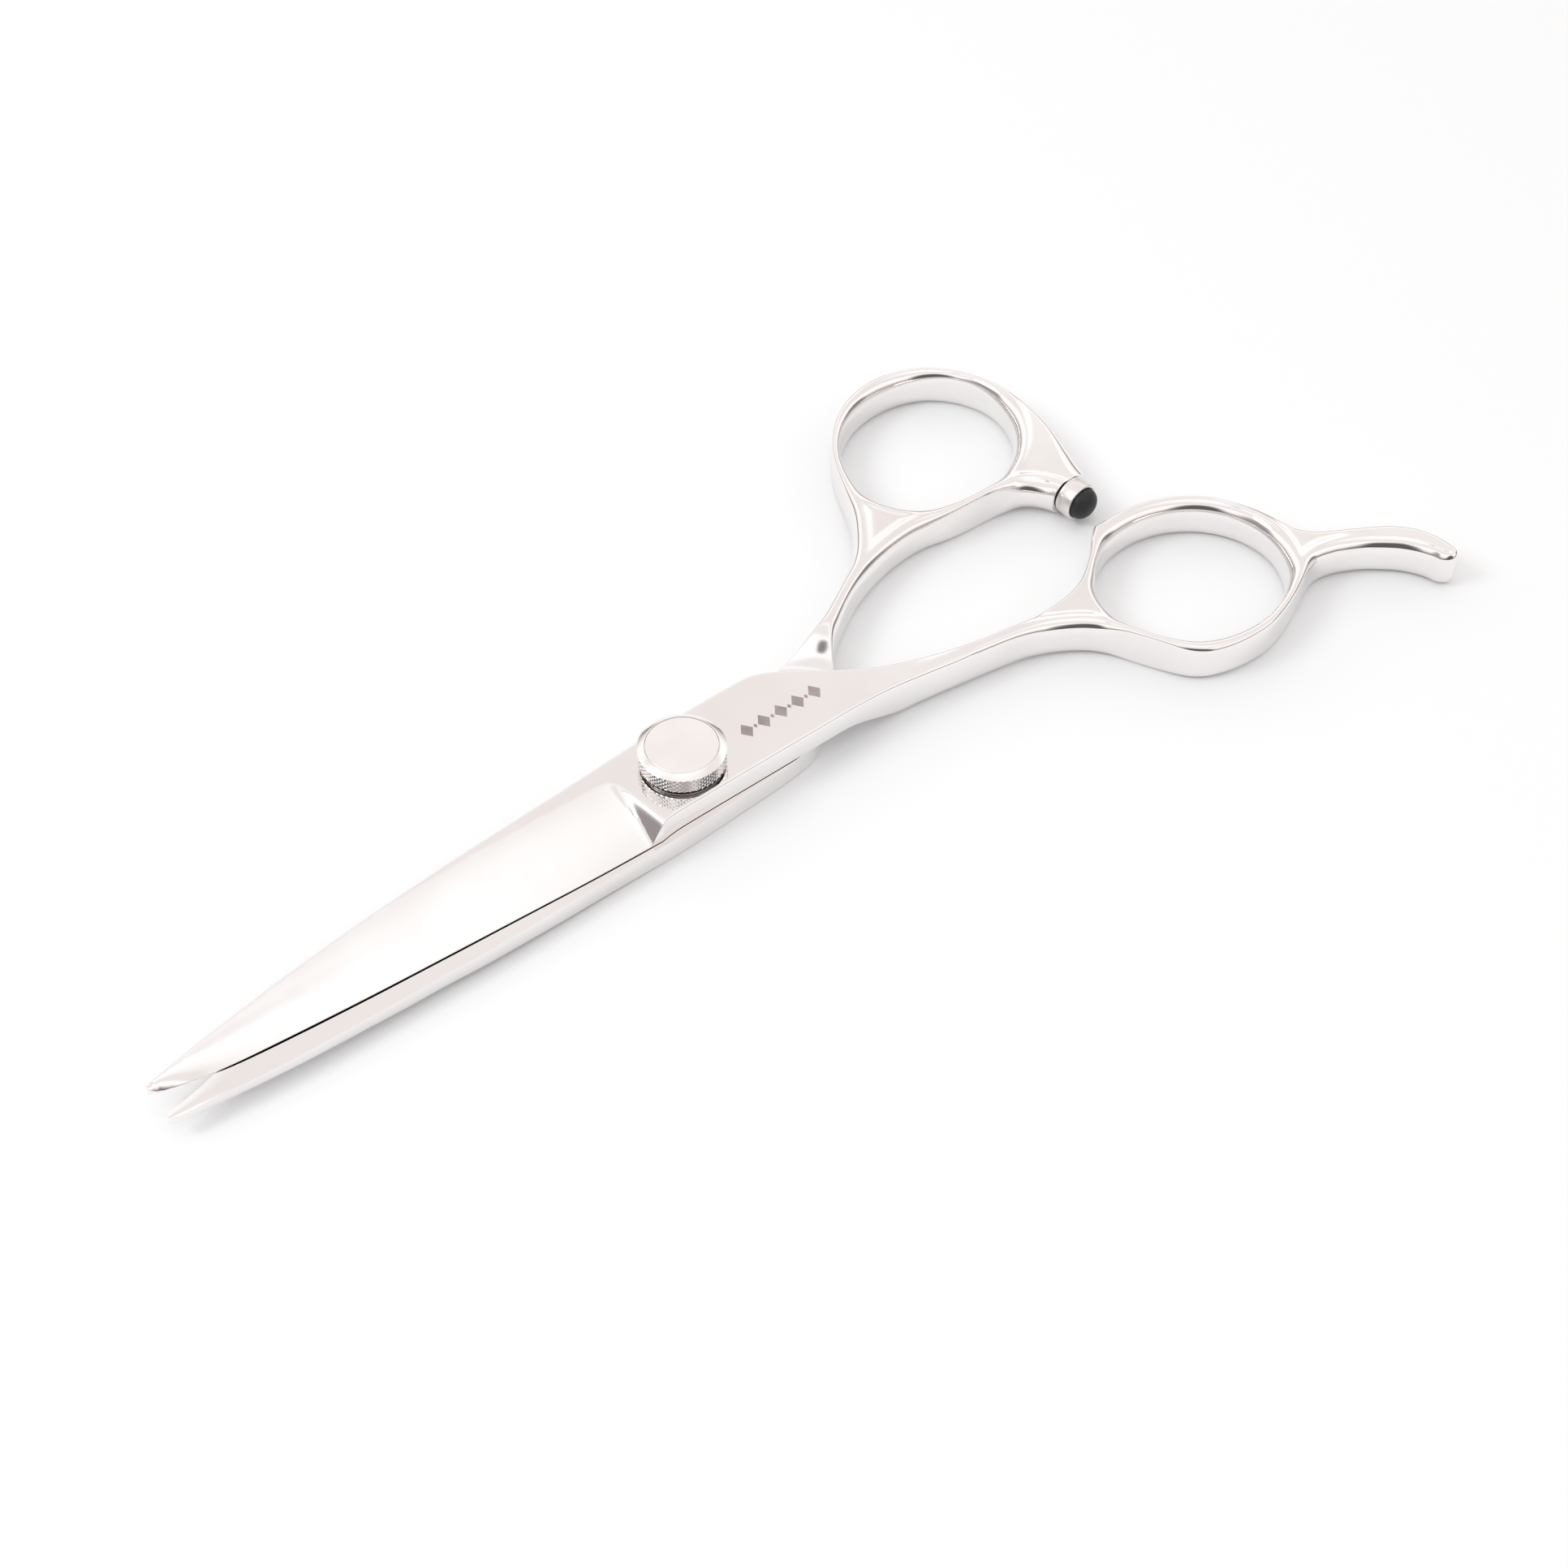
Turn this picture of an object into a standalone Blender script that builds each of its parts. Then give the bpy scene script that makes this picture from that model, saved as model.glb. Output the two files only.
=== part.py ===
"""Hair cutting shears with offset finger rings and a knurled tension dial, lying on a table.

The frame has its origin on the pivot axis, in the plane that the shears lie on. +Z points up, -X points to
the blade tips and +Y is the side of the thumb ring.

Both halves are drawn in one flat frame: x along the closed blades, v from the cutting edge (negative) to
the spine (positive), and w away from the plane where the halves meet. The finger half stays as drawn. The
thumb half is turned over about X and opened by REST_OPENING.
"""

import math

import bmesh
import bpy
from mathutils import Matrix, Vector

MM = 0.001

# Driving dimensions, in millimetres and degrees.
REST_OPENING = 3.2
MEET_Z = 3.0
RIDE_GAP = 0.05
BLADE_THICKNESS = 3.0
FINGER_HANDLE_Z = (0.15, 5.3)
THUMB_HANDLE_Z = (0.1, 5.3)
HANDLE_ROUNDING = 0.5
EDGE_SIDE_V = -5.5
SPINE_V = 5.9
HEEL_X = -7.2
TIP_X = -68.2
EDGE_THICKNESS = 0.2
RAMP_START = 19.6
RAMP_LENGTH = 5.4
RAMP_SLANT = 35.0
FIT = 0.05

HEAD_RADIUS = 4.5
HEAD_HEIGHT = 0.85
HEAD_WASHER_TOP_Z = 1.2
BUSH_Z = (1.32, 2.92)
BUSH_RADIUS = 3.1
JOURNAL_RADIUS = 2.5
KEY_HALF = 1.9
STUD_RADIUS = 2.0
STUD_KEY_HALF = 1.6
STUD_TOP_Z = 8.3
GROOVE_RADIUS = 1.5
RECESS_FLOOR_Z = 5.3
RECESS_RADIUS = 4.75
WASHER_RADIUS = 4.4
GLIDE_FLOOR_Z = 2.48
SPRING_RADIUS = 4.3
SPRING_THICKNESS = 0.17
SPRING_DISH = 0.12
CLICK_BOTTOM_Z = 5.99
CLICK_TOP_Z = 6.49
DIAL_RADIUS = 5.1
DIAL_BOTTOM_Z = 6.56
DIAL_TOP_Z = 8.95
CAP_RADIUS = 4.3
CAP_FLOOR_Z = 8.53
CLIP_Z = (7.99, 8.12)
CLIP_RADIUS = 2.7
BALL_RADIUS = 0.5
BALL_CIRCLE = 3.6
BALL_COUNT = 3
DETENT_COUNT = 12
DETENT_DIP = 0.07
POCKET_TOP_Z = 8.2

BUMPER_X = 67.3
BUMPER_Z = 2.8
BUMPER_RADIUS = 2.5
DOME_RADIUS = 2.1
BUMPER_STUD_RADIUS = 1.25
BUMPER_STUD_DEPTH = 4.0
SOCKET_RADIUS = 1.2
SOCKET_DEPTH = 1.5
SEAT_V = -4.7
COLLAR_LENGTH = 2.4
DOME_HEIGHT = 1.6
LANDING_V = 0.6

# Each ring's hole: centre, half-axes and tilt.
FINGER_HOLE = ((67.5, -12.8), (12.2, 10.9), -1.5)
THUMB_HOLE = ((59.3, -22.4), (12.8, 10.7), -25)

# The handles' outlines, in (x, v), going round anticlockwise from under the shank.
FINGER_HANDLE = [
    (14, -4.6), (22, -5.45), (28.9, -5.8), (33.3, -6.5), (37.8, -7.1), (42.4, -7.8), (46.5, -9), (49.8, -11),
    (52.7, -13.6), (54.8, -16.7), (56.6, -20.2), (59.2, -23.3), (63.2, -25.1), (67.4, -25.5), (71.6, -24.7),
    (75.5, -23), (79.3, -21.4), (82, -20.9), (85, -21.6), (87.9, -23.1), (90.4, -25.3), (92.1, -27.3),
    (93.1, -29.3), (94.1, -31), (95.6, -30.9), (96.3, -28.8), (95.9, -26.4), (94.8, -24), (92.6, -21.7),
    (89.8, -19.8), (86.4, -17.8), (84.2, -15.8), (82.8, -12.7), (81.6, -9), (79.6, -5.3), (76.6, -2.3),
    (73, -0.5), (69.6, 0.3), (66.4, LANDING_V), (63.4, LANDING_V), (61.6, -0.9), (59.5, -2.9), (57, -4.8),
    (54.4, -5.9), (50.5, -6.6), (45.5, -6.35), (40.9, -5.75), (36.7, -4.8), (32.6, -3.65), (28.7, -2.4),
    (25.1, -0.9), (22.4, 0.9), (20.3, 2.4), (17.6, 4), (14, 4.6),
]
THUMB_HANDLE = [
    (14, -4.6), (19, -5.4), (22.3, -6.1), (25.5, -6.85), (28.7, -8.1), (32.1, -9.8), (35.7, -11.7),
    (39.2, -14.3), (42, -17.6), (44.4, -21.3), (46.3, -25), (48.6, -28.6), (51.7, -32), (55.7, -34.7),
    (60, -35.9), (64, -35.6), (68, -33.6), (70.8, -30.6), (72.7, -27.1), (74, -22.7), (74.2, -19.5),
    (73.7, -15.8), (72.8, -12.2), (71.6, -8.4), (70.4, -5), (69.3, -2.8), (67.3, -2), (65.4, -2.8),
    (64.6, -4.6), (63.7, -6.3), (62.2, -8), (59.6, -9.5), (56.2, -10.05), (51.6, -10.45), (48, -11),
    (44.5, -11.05), (40.6, -10.5), (36, -9.2), (31.6, -7.1), (28.2, -5), (25.4, -2.9), (23.6, -1.1),
    (22.3, 0.5), (20.3, 2.4), (17.6, 4), (14, 4.6),
]

# The pivot plate and the blade: along the spine to the tip, round it, and back along the cutting edge.
SPINE = [(14.2, SPINE_V), (-1, SPINE_V), (-8, 5.4), (-19, 5.2), (-28, 4.9), (-36, 4.35), (-44, 3.6),
         (-51, 2.75), (-58, 1.8), (-64, 0.9)]
FINGER_NOSE = [(-67.2, 0.4), (TIP_X, -0.2), (-66.5, -0.9), (-63.5, -1.6)]
THUMB_NOSE = [(-67.2, 0.65), (TIP_X, 0.1), (-67.9, -0.3), (-64.9, -0.75), (-61.5, -1.3)]
EDGE = [(-57, -2.45), (-50, -3.3), (-40, -4.1), (-26, -4.95), (HEEL_X, -5.85)]

POLISHED = ((0.80, 0.78, 0.77), 0.08, 1.0)
SATIN = ((0.72, 0.70, 0.69), 0.28, 1.0)
SPRING_STEEL = ((0.45, 0.44, 0.44), 0.3, 1.0)
BRONZE = ((0.62, 0.42, 0.22), 0.35, 1.0)
POLYMER = ((0.85, 0.84, 0.8), 0.5, 0.0)
RUBBER = ((0.015, 0.015, 0.016), 0.6, 0.0)


def start_clean():
    for obj in list(bpy.data.objects):
        bpy.data.objects.remove(obj)
    for name in ("hair_cutting_shears", "cutters"):
        bpy.context.scene.collection.children.link(bpy.data.collections.new(name))


def add_object(name, data, finish=None, side=None):
    """Links a new object: a part if it has a finish, otherwise a cutter that only shapes the parts."""
    obj = bpy.data.objects.new(name, data)
    obj.parent = side
    if finish is None:
        bpy.data.collections["cutters"].objects.link(obj)
        obj.hide_render = True
        obj.display_type = "WIRE"
        return obj
    bpy.data.collections["hair_cutting_shears"].objects.link(obj)
    color, roughness, metallic = finish
    mat = bpy.data.materials.new(name)
    mat.use_nodes = True
    shader = mat.node_tree.nodes["Principled BSDF"]
    shader.inputs["Base Color"].default_value = (*color, 1)
    shader.inputs["Roughness"].default_value = roughness
    shader.inputs["Metallic"].default_value = metallic
    data.materials.append(mat)
    return obj


def smooth(obj):
    obj.data.shade_smooth()
    obj.data.set_sharp_from_angle(angle=math.radians(35))
    return obj


def add_curve_loop(curve, points, rounded):
    """A closed loop through the points: smooth where rounded, or straight from point to point."""
    spline = curve.splines.new("BEZIER")
    spline.bezier_points.add(len(points) - 1)
    spline.use_cyclic_u = True
    spline.resolution_u = 2 if rounded else 1
    for knot, (x, y) in zip(spline.bezier_points, points):
        knot.co = (x * MM, y * MM, 0)
        knot.handle_left_type = knot.handle_right_type = "AUTO" if rounded else "VECTOR"


def flat_solid(name, loops, low, high, finish=None, side=None, rounding=0.0, rounded=False):
    """A solid between two heights over an outline and its holes, with edges rounded by `rounding`.

    The outline runs anticlockwise and its holes clockwise."""
    curve = bpy.data.curves.new(name, "CURVE")
    curve.dimensions = "2D"
    curve.fill_mode = "BOTH"
    curve.extrude = ((high - low) / 2 - rounding) * MM
    curve.bevel_depth = rounding * MM
    curve.bevel_resolution = 2
    curve.offset = -rounding * MM
    for points in loops:
        add_curve_loop(curve, points, rounded)
    outline = bpy.data.objects.new(name, curve)
    bpy.data.collections["cutters"].objects.link(outline)
    mesh = bpy.data.meshes.new_from_object(outline.evaluated_get(bpy.context.evaluated_depsgraph_get()))
    bpy.data.objects.remove(outline)
    bm = bmesh.new()
    bm.from_mesh(mesh)
    bmesh.ops.remove_doubles(bm, verts=bm.verts, dist=1e-7)
    bmesh.ops.translate(bm, vec=(0, 0, (low + high) / 2 * MM), verts=bm.verts)
    bmesh.ops.recalc_face_normals(bm, faces=bm.faces)
    bm.to_mesh(mesh)
    bm.free()
    return add_object(name, mesh, finish, side)


def turned(name, profile, finish=None, side=None, steps=48):
    """A turned solid from (radius, height) points, running down its outer side from the top.

    A profile that starts and ends on the axis is a solid. Any other profile closes into a ring."""
    mesh = bpy.data.meshes.new(name)
    ring = profile[0][0] > 0
    count = len(profile)
    edges = [(k, (k + 1) % count) for k in range(count if ring else count - 1)]
    mesh.from_pydata([(r * MM, 0, z * MM) for r, z in profile], edges, [])
    obj = add_object(name, mesh, finish, side)
    screw = obj.modifiers.new("turn", "SCREW")
    screw.axis = "Z"
    screw.steps = screw.render_steps = steps
    screw.use_merge_vertices = True
    screw.merge_threshold = 1e-6
    screw.use_smooth_shade = False
    return obj


def disc(radius, low, high):
    return [(0, high), (radius, high), (radius, low), (0, low)]


def washer(inner, outer, low, high):
    return [(outer, high), (outer, low), (inner, low), (inner, high)]


def combine(obj, operation, other):
    boolean = obj.modifiers.new(other.name, "BOOLEAN")
    boolean.operation = operation
    boolean.solver = "EXACT"
    boolean.object = other


def cut(obj, *cutters):
    for cutter in cutters:
        combine(obj, "DIFFERENCE", cutter)


def box(name, low, high, side=None):
    """A cutter box between two corners."""
    bm = bmesh.new()
    size = [b - a for a, b in zip(low, high)]
    middle = [(a + b) / 2 for a, b in zip(low, high)]
    bmesh.ops.create_cube(bm, size=MM)
    bmesh.ops.scale(bm, vec=size, verts=bm.verts)
    bmesh.ops.translate(bm, vec=[m * MM for m in middle], verts=bm.verts)
    mesh = bpy.data.meshes.new(name)
    bm.to_mesh(mesh)
    bm.free()
    return add_object(name, mesh, side=side)


def rods(name, shapes, segments=20):
    """Upright cylinders in one cutter, each (x, y, radius, low, high)."""
    bm = bmesh.new()
    for x, y, radius, low, high in shapes:
        place = Matrix.Translation(Vector((x, y, (low + high) / 2)) * MM)
        bmesh.ops.create_cone(bm, cap_ends=True, segments=segments, radius1=radius * MM,
                              radius2=radius * MM, depth=(high - low) * MM, matrix=place)
    mesh = bpy.data.meshes.new(name)
    bm.to_mesh(mesh)
    bm.free()
    return add_object(name, mesh)


def balls(name, centres, radius, finish=None):
    bm = bmesh.new()
    for centre in centres:
        bmesh.ops.create_uvsphere(bm, u_segments=16, v_segments=10, radius=radius * MM,
                                  matrix=Matrix.Translation(Vector(centre) * MM))
    mesh = bpy.data.meshes.new(name)
    bm.to_mesh(mesh)
    bm.free()
    return add_object(name, mesh, finish)


def on_circle(radius, k, count, turn=0.0):
    angle = 2 * math.pi * k / count + math.radians(turn)
    return radius * math.cos(angle), radius * math.sin(angle)


def key_section(radius, half):
    """A round section with a flat on either side, anticlockwise."""
    corner = math.acos(half / radius)
    arc = [corner + (math.pi - 2 * corner) * k / 10 for k in range(11)]
    right_to_left = [(radius * math.cos(a), radius * math.sin(a)) for a in arc]
    return right_to_left + [(-x, -y) for x, y in right_to_left]


def oval(hole, count):
    """Points round a ring's hole, clockwise."""
    (cx, cv), (a, b), tilt = hole
    turn = Matrix.Rotation(math.radians(tilt), 2)
    angles = [-2 * math.pi * k / count for k in range(count)]
    points = [turn @ Vector((a * math.cos(t), b * math.sin(t))) for t in angles]
    return [(cx + x, cv + v) for x, v in points]


def ramp_cutter(name, depth, side):
    """What the ride face and the ramp take off a half: everything on the far side of them."""
    far = depth + 4
    profile = [(-90, RIDE_GAP), (-90, -far), (RAMP_START + RAMP_LENGTH * far / depth, -far),
               (RAMP_START, RIDE_GAP)]
    ramp = flat_solid(name, [profile], -70, 70, side=side)
    stand = Matrix.Rotation(math.radians(90), 4, "X")
    ramp.data.transform(Matrix.Rotation(math.radians(-RAMP_SLANT), 4, "Z") @ stand)
    return ramp


def grind_cutter(name, side):
    """The slab above the blade's ground face, which falls from the spine to the edge and to the tip."""
    heel_strip = Vector((HEEL_X, 3.2, BLADE_THICKNESS))
    heel_edge = Vector((HEEL_X, EDGE[-1][1], EDGE_THICKNESS))
    tip_edge = Vector((TIP_X, -0.6, EDGE_THICKNESS))
    across = (heel_strip - heel_edge).normalized()
    up = across.cross(tip_edge - heel_edge).normalized()
    up = up if up.z > 0 else -up
    along = across.cross(up)
    frame = Matrix((along, across, up)).transposed().to_4x4()
    slab = box(name, (-90, -20, 0), (90, 40, 10), side)
    slab.data.transform(Matrix.Translation(heel_edge * MM) @ frame)
    clip = box(name + "_heel", (-90, -20, -2), (HEEL_X, 20, 20), side)
    combine(slab, "INTERSECT", clip)
    return slab


def make_half(name, handle_outline, hole, nose, handle_w, side):
    """One half in a single piece: blade, pivot plate, shank and ring."""
    plate_loop = [(22, -4.4), (21, 1.2)] + SPINE + nose + EDGE
    plate_loop += [(HEEL_X + 1, EDGE_SIDE_V), (14, EDGE_SIDE_V), (18, -5)]
    plate = flat_solid(name, [plate_loop], RIDE_GAP, BLADE_THICKNESS, POLISHED, side)
    handle = flat_solid(name + "_handle", [handle_outline, oval(hole, 28)], *handle_w, side=side,
                        rounding=HANDLE_ROUNDING, rounded=True)
    cut(handle, ramp_cutter(name + "_ramp", -handle_w[0], side))
    combine(plate, "UNION", handle)
    cut(plate, grind_cutter(name + "_grind", side))
    return plate


def make_finger_half(side):
    low, high = FINGER_HANDLE_Z
    half = make_half("finger_half", FINGER_HANDLE, FINGER_HOLE, FINGER_NOSE, (low - MEET_Z, high - MEET_Z), side)
    key = flat_solid("finger_key_bore", [key_section(JOURNAL_RADIUS, KEY_HALF + FIT)], 0, 9)
    recess = turned("dial_recess", disc(RECESS_RADIUS, RECESS_FLOOR_Z, 7))
    cut(half, key, recess)
    return smooth(half)


def make_thumb_half(side):
    low, high = THUMB_HANDLE_Z
    half = make_half("thumb_half", THUMB_HANDLE, THUMB_HOLE, THUMB_NOSE, (MEET_Z - high, MEET_Z - low), side)
    bore = turned("bush_bore", disc(BUSH_RADIUS + FIT, -1, 4))
    head_seat = turned("head_seat", disc(HEAD_RADIUS + 0.1, -1, HEAD_WASHER_TOP_Z + FIT))
    glide_recess = turned("glide_recess", disc(WASHER_RADIUS + 0.1, GLIDE_FLOOR_Z, 4))
    stud_hole = turned("bumper_hole", disc(BUMPER_STUD_RADIUS + FIT, -BUMPER_STUD_DEPTH - 0.2, 1),
                       side=side, steps=24)
    stud_hole.matrix_local = bumper_place()
    seat = box("bumper_seat", (62, SEAT_V, -6), (73, 2, 6), side)
    cut(half, bore, head_seat, glide_recess, seat, stud_hole)
    return smooth(half)


def make_pivot():
    """The screw with its bush and washers."""
    journal = JOURNAL_RADIUS - FIT
    shoulder = RECESS_FLOOR_Z - FIT
    groove_low, groove_high = CLIP_Z[0] - 0.03, CLIP_Z[1] + 0.03
    profile = [(0, STUD_TOP_Z), (STUD_RADIUS - 0.1, STUD_TOP_Z), (STUD_RADIUS, STUD_TOP_Z - 0.1),
               (STUD_RADIUS, groove_high), (GROOVE_RADIUS, groove_high), (GROOVE_RADIUS, groove_low),
               (STUD_RADIUS, groove_low), (STUD_RADIUS, shoulder), (journal, shoulder), (journal, HEAD_HEIGHT),
               (HEAD_RADIUS, HEAD_HEIGHT), (HEAD_RADIUS, 0.15), (HEAD_RADIUS - 0.15, 0), (0, 0)]
    screw = turned("pivot_screw", profile, SATIN)
    for sign in (-1, 1):
        low, high = sorted((sign * KEY_HALF, sign * 4))
        cut(screw, box(f"screw_flat_{sign}", (low, -4, MEET_Z), (high, 4, RECESS_FLOOR_Z + 0.1)))
        low, high = sorted((sign * STUD_KEY_HALF, sign * 4))
        cut(screw, box(f"stud_flat_{sign}", (low, -4, RECESS_FLOOR_Z - 0.1), (high, 4, CLICK_TOP_Z + 0.35)))
    smooth(screw)
    turned("pivot_bush", washer(JOURNAL_RADIUS + FIT / 2, BUSH_RADIUS, *BUSH_Z), BRONZE)
    turned("head_washer", washer(JOURNAL_RADIUS + 0.1, WASHER_RADIUS, HEAD_HEIGHT + FIT, HEAD_WASHER_TOP_Z), BRONZE)
    turned("glide_washer", washer(BUSH_RADIUS + 0.1, WASHER_RADIUS, GLIDE_FLOOR_Z + FIT, MEET_Z), POLYMER)


def make_disc_springs():
    """Two dished washers, edge to edge, between the recess floor and the click washer."""
    thick = SPRING_THICKNESS
    inner, outer = STUD_RADIUS + 0.15, SPRING_RADIUS
    low = RECESS_FLOOR_Z + FIT
    high = CLICK_BOTTOM_Z - FIT
    lower = [(outer, low + SPRING_DISH + thick), (outer, low + SPRING_DISH), (inner, low), (inner, low + thick)]
    upper = [(outer, high - SPRING_DISH), (outer, high - SPRING_DISH - thick), (inner, high - thick), (inner, high)]
    turned("disc_spring_lower", lower, SPRING_STEEL)
    turned("disc_spring_upper", upper, SPRING_STEEL)


def make_click_washer():
    outer = [on_circle(4.55, k, 40) for k in range(40)]
    hole = key_section(STUD_RADIUS + FIT, STUD_KEY_HALF + FIT)[::-1]
    plate = flat_solid("click_washer", [outer, hole], CLICK_BOTTOM_Z, CLICK_TOP_Z, SPRING_STEEL)
    height = CLICK_TOP_Z + BALL_RADIUS - DETENT_DIP
    centres = [(*on_circle(BALL_CIRCLE, k, DETENT_COUNT), height) for k in range(DETENT_COUNT)]
    cut(plate, balls("click_dimples", centres, BALL_RADIUS + 0.04))
    return plate


def make_dial():
    bore = STUD_RADIUS + FIT
    profile = [(CAP_RADIUS, DIAL_TOP_Z), (CAP_RADIUS + 0.1, DIAL_TOP_Z), (DIAL_RADIUS, DIAL_TOP_Z - 0.5),
               (DIAL_RADIUS, DIAL_BOTTOM_Z + 0.2), (DIAL_RADIUS - 0.2, DIAL_BOTTOM_Z), (bore, DIAL_BOTTOM_Z),
               (bore, 7.7), (2.9, 7.7), (2.9, CAP_FLOOR_Z), (CAP_RADIUS, CAP_FLOOR_Z)]
    dial = turned("tension_dial", profile, SATIN, steps=64)
    pockets = [on_circle(BALL_CIRCLE, k, BALL_COUNT) for k in range(BALL_COUNT)]
    cut(dial, rods("ball_pockets", [(x, y, BALL_RADIUS + 0.06, 6, POCKET_TOP_Z) for x, y in pockets]))
    smooth(dial)
    cap = [(0, DIAL_TOP_Z), (CAP_RADIUS - FIT, DIAL_TOP_Z), (CAP_RADIUS - FIT, CAP_FLOOR_Z + FIT),
           (0, CAP_FLOOR_Z + FIT)]
    turned("dial_cap", cap, SATIN)
    for k, (x, y) in enumerate(pockets, 1):
        centre = (x, y, CLICK_TOP_Z + BALL_RADIUS - DETENT_DIP)
        balls(f"detent_ball_{k}", [centre], BALL_RADIUS, SATIN).data.shade_smooth()
        make_coil(f"detent_spring_{k}", x, y, centre[2] + BALL_RADIUS + 0.09, POCKET_TOP_Z - 0.08)


def make_coil(name, x, y, low, high):
    """A small compression spring, as a round wire on a helix."""
    turns, per_turn, radius, wire = 4, 12, 0.38, 0.055
    curve = bpy.data.curves.new(name, "CURVE")
    curve.dimensions = "3D"
    curve.bevel_depth = wire * MM
    curve.bevel_resolution = 1
    curve.use_fill_caps = True
    spline = curve.splines.new("POLY")
    spline.points.add(turns * per_turn)
    for k, point in enumerate(spline.points):
        angle = 2 * math.pi * k / per_turn
        height = low + wire + (high - low - 2 * wire) * k / (turns * per_turn)
        place = (x + radius * math.cos(angle), y + radius * math.sin(angle), height)
        point.co = (*(c * MM for c in place), 1)
    add_object(name, curve, SPRING_STEEL)


def make_stop_clip():
    """A clip with a mouth, sprung into the groove at the screw's end."""
    span = [math.radians(40 + 280 * k / 24) for k in range(25)]
    bore = GROOVE_RADIUS + FIT
    outer = [(CLIP_RADIUS * math.cos(a), CLIP_RADIUS * math.sin(a)) for a in span]
    inner = [(bore * math.cos(a), bore * math.sin(a)) for a in reversed(span)]
    return flat_solid("stop_clip", [outer + inner], *CLIP_Z, SPRING_STEEL)


def bumper_place():
    """The bumper's own axis: out of the stop arm's end, towards the finger ring."""
    seat = Matrix.Translation(Vector((BUMPER_X, SEAT_V, MEET_Z - BUMPER_Z)) * MM)
    return seat @ Matrix.Rotation(math.radians(-90), 4, "X")


def make_bumper(side):
    """A ferrule on a stud, with a rubber dome whose stem fills its socket."""
    r, top, low = BUMPER_RADIUS, COLLAR_LENGTH, 0.1
    socket_floor = top - SOCKET_DEPTH
    profile = [(0, socket_floor), (SOCKET_RADIUS, socket_floor), (SOCKET_RADIUS, top), (r - 0.15, top),
               (r, top - 0.15), (r, low + 0.1), (r - 0.1, low), (BUMPER_STUD_RADIUS, low),
               (BUMPER_STUD_RADIUS, -BUMPER_STUD_DEPTH), (0, -BUMPER_STUD_DEPTH)]
    collar = turned("bumper_collar", profile, SATIN, side, 40)
    collar.matrix_local = bumper_place()
    foot, end = top + FIT, top + DOME_HEIGHT
    arc = [math.radians(90 - 15 * k) for k in range(7)]
    rise = end - foot - 0.3
    stem = SOCKET_RADIUS - FIT
    dome = [(DOME_RADIUS * math.cos(a), foot + 0.3 + rise * math.sin(a)) for a in arc]
    dome[0] = (0, end)
    dome += [(DOME_RADIUS, foot), (stem, foot), (stem, socket_floor + 0.1), (0, socket_floor + 0.1)]
    rubber = turned("bumper_dome", dome, RUBBER, side, 40)
    rubber.matrix_local = bumper_place()
    smooth(collar)
    smooth(rubber)


def make_shears():
    start_clean()
    finger_side = bpy.data.objects.new("finger_side", None)
    thumb_side = bpy.data.objects.new("thumb_side", None)
    for side in (finger_side, thumb_side):
        bpy.data.collections["hair_cutting_shears"].objects.link(side)
        side.matrix_world = Matrix.Translation((0, 0, MEET_Z * MM))
    open_turn = Matrix.Rotation(math.radians(REST_OPENING), 4, "Z")
    thumb_side.matrix_world = open_turn @ thumb_side.matrix_world @ Matrix.Rotation(math.pi, 4, "X")
    make_finger_half(finger_side)
    make_thumb_half(thumb_side)
    make_pivot()
    make_disc_springs()
    make_click_washer()
    make_dial()
    make_stop_clip()
    make_bumper(thumb_side)


make_shears()
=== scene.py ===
"""Looks for the hair cutting shears: polished steel halves, a knurled tension dial, a capped rubber bumper.

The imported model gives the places. The two halves are drawn again here at full resolution, in the flat frame
that the CAD uses: x along the closed blades, v from the cutting edge (negative) to the spine (positive), and
w away from the plane where the halves meet. Lengths in the outlines are millimetres.
"""

import math

import bmesh
import bpy
import numpy as np
from mathutils import Matrix, Vector
from mathutils.geometry import delaunay_2d_cdt


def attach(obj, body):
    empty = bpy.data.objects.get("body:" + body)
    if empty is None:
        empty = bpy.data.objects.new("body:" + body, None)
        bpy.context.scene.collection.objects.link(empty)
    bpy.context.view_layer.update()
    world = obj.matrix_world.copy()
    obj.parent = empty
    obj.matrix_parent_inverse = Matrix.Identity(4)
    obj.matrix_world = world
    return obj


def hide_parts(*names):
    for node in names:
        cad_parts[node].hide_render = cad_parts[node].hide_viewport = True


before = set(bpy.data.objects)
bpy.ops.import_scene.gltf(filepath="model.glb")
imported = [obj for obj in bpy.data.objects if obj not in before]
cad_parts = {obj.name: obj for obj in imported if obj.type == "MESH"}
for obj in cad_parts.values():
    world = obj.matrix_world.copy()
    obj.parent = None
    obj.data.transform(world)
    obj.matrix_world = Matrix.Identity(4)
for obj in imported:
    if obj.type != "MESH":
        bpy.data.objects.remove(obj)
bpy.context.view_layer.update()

MM = 0.001

# Places and sizes that are the same as the CAD model's.
REST_OPENING = 3.2
MEET_Z = 3.0
RIDE_GAP = 0.05
BLADE_THICKNESS = 3.0
HANDLE_TOP_Z = 5.3
FINGER_UNDER_Z = 0.15
THUMB_UNDER_Z = 0.1
HEEL_X = -7.2
RAMP_SLANT = 35.0
SEAT_X = 67.3
SEAT_V = -4.7

# The tips, just inside the CAD's, and the ring holes as centre, half sizes and tilt in degrees.
TIP_X = -68.15
FINGER_HOLE = ((67.5, -12.8), (12.2, 10.87), -1.5)
THUMB_HOLE = ((59.4, -22.15), (12.9, 10.85), -24.7)

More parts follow.
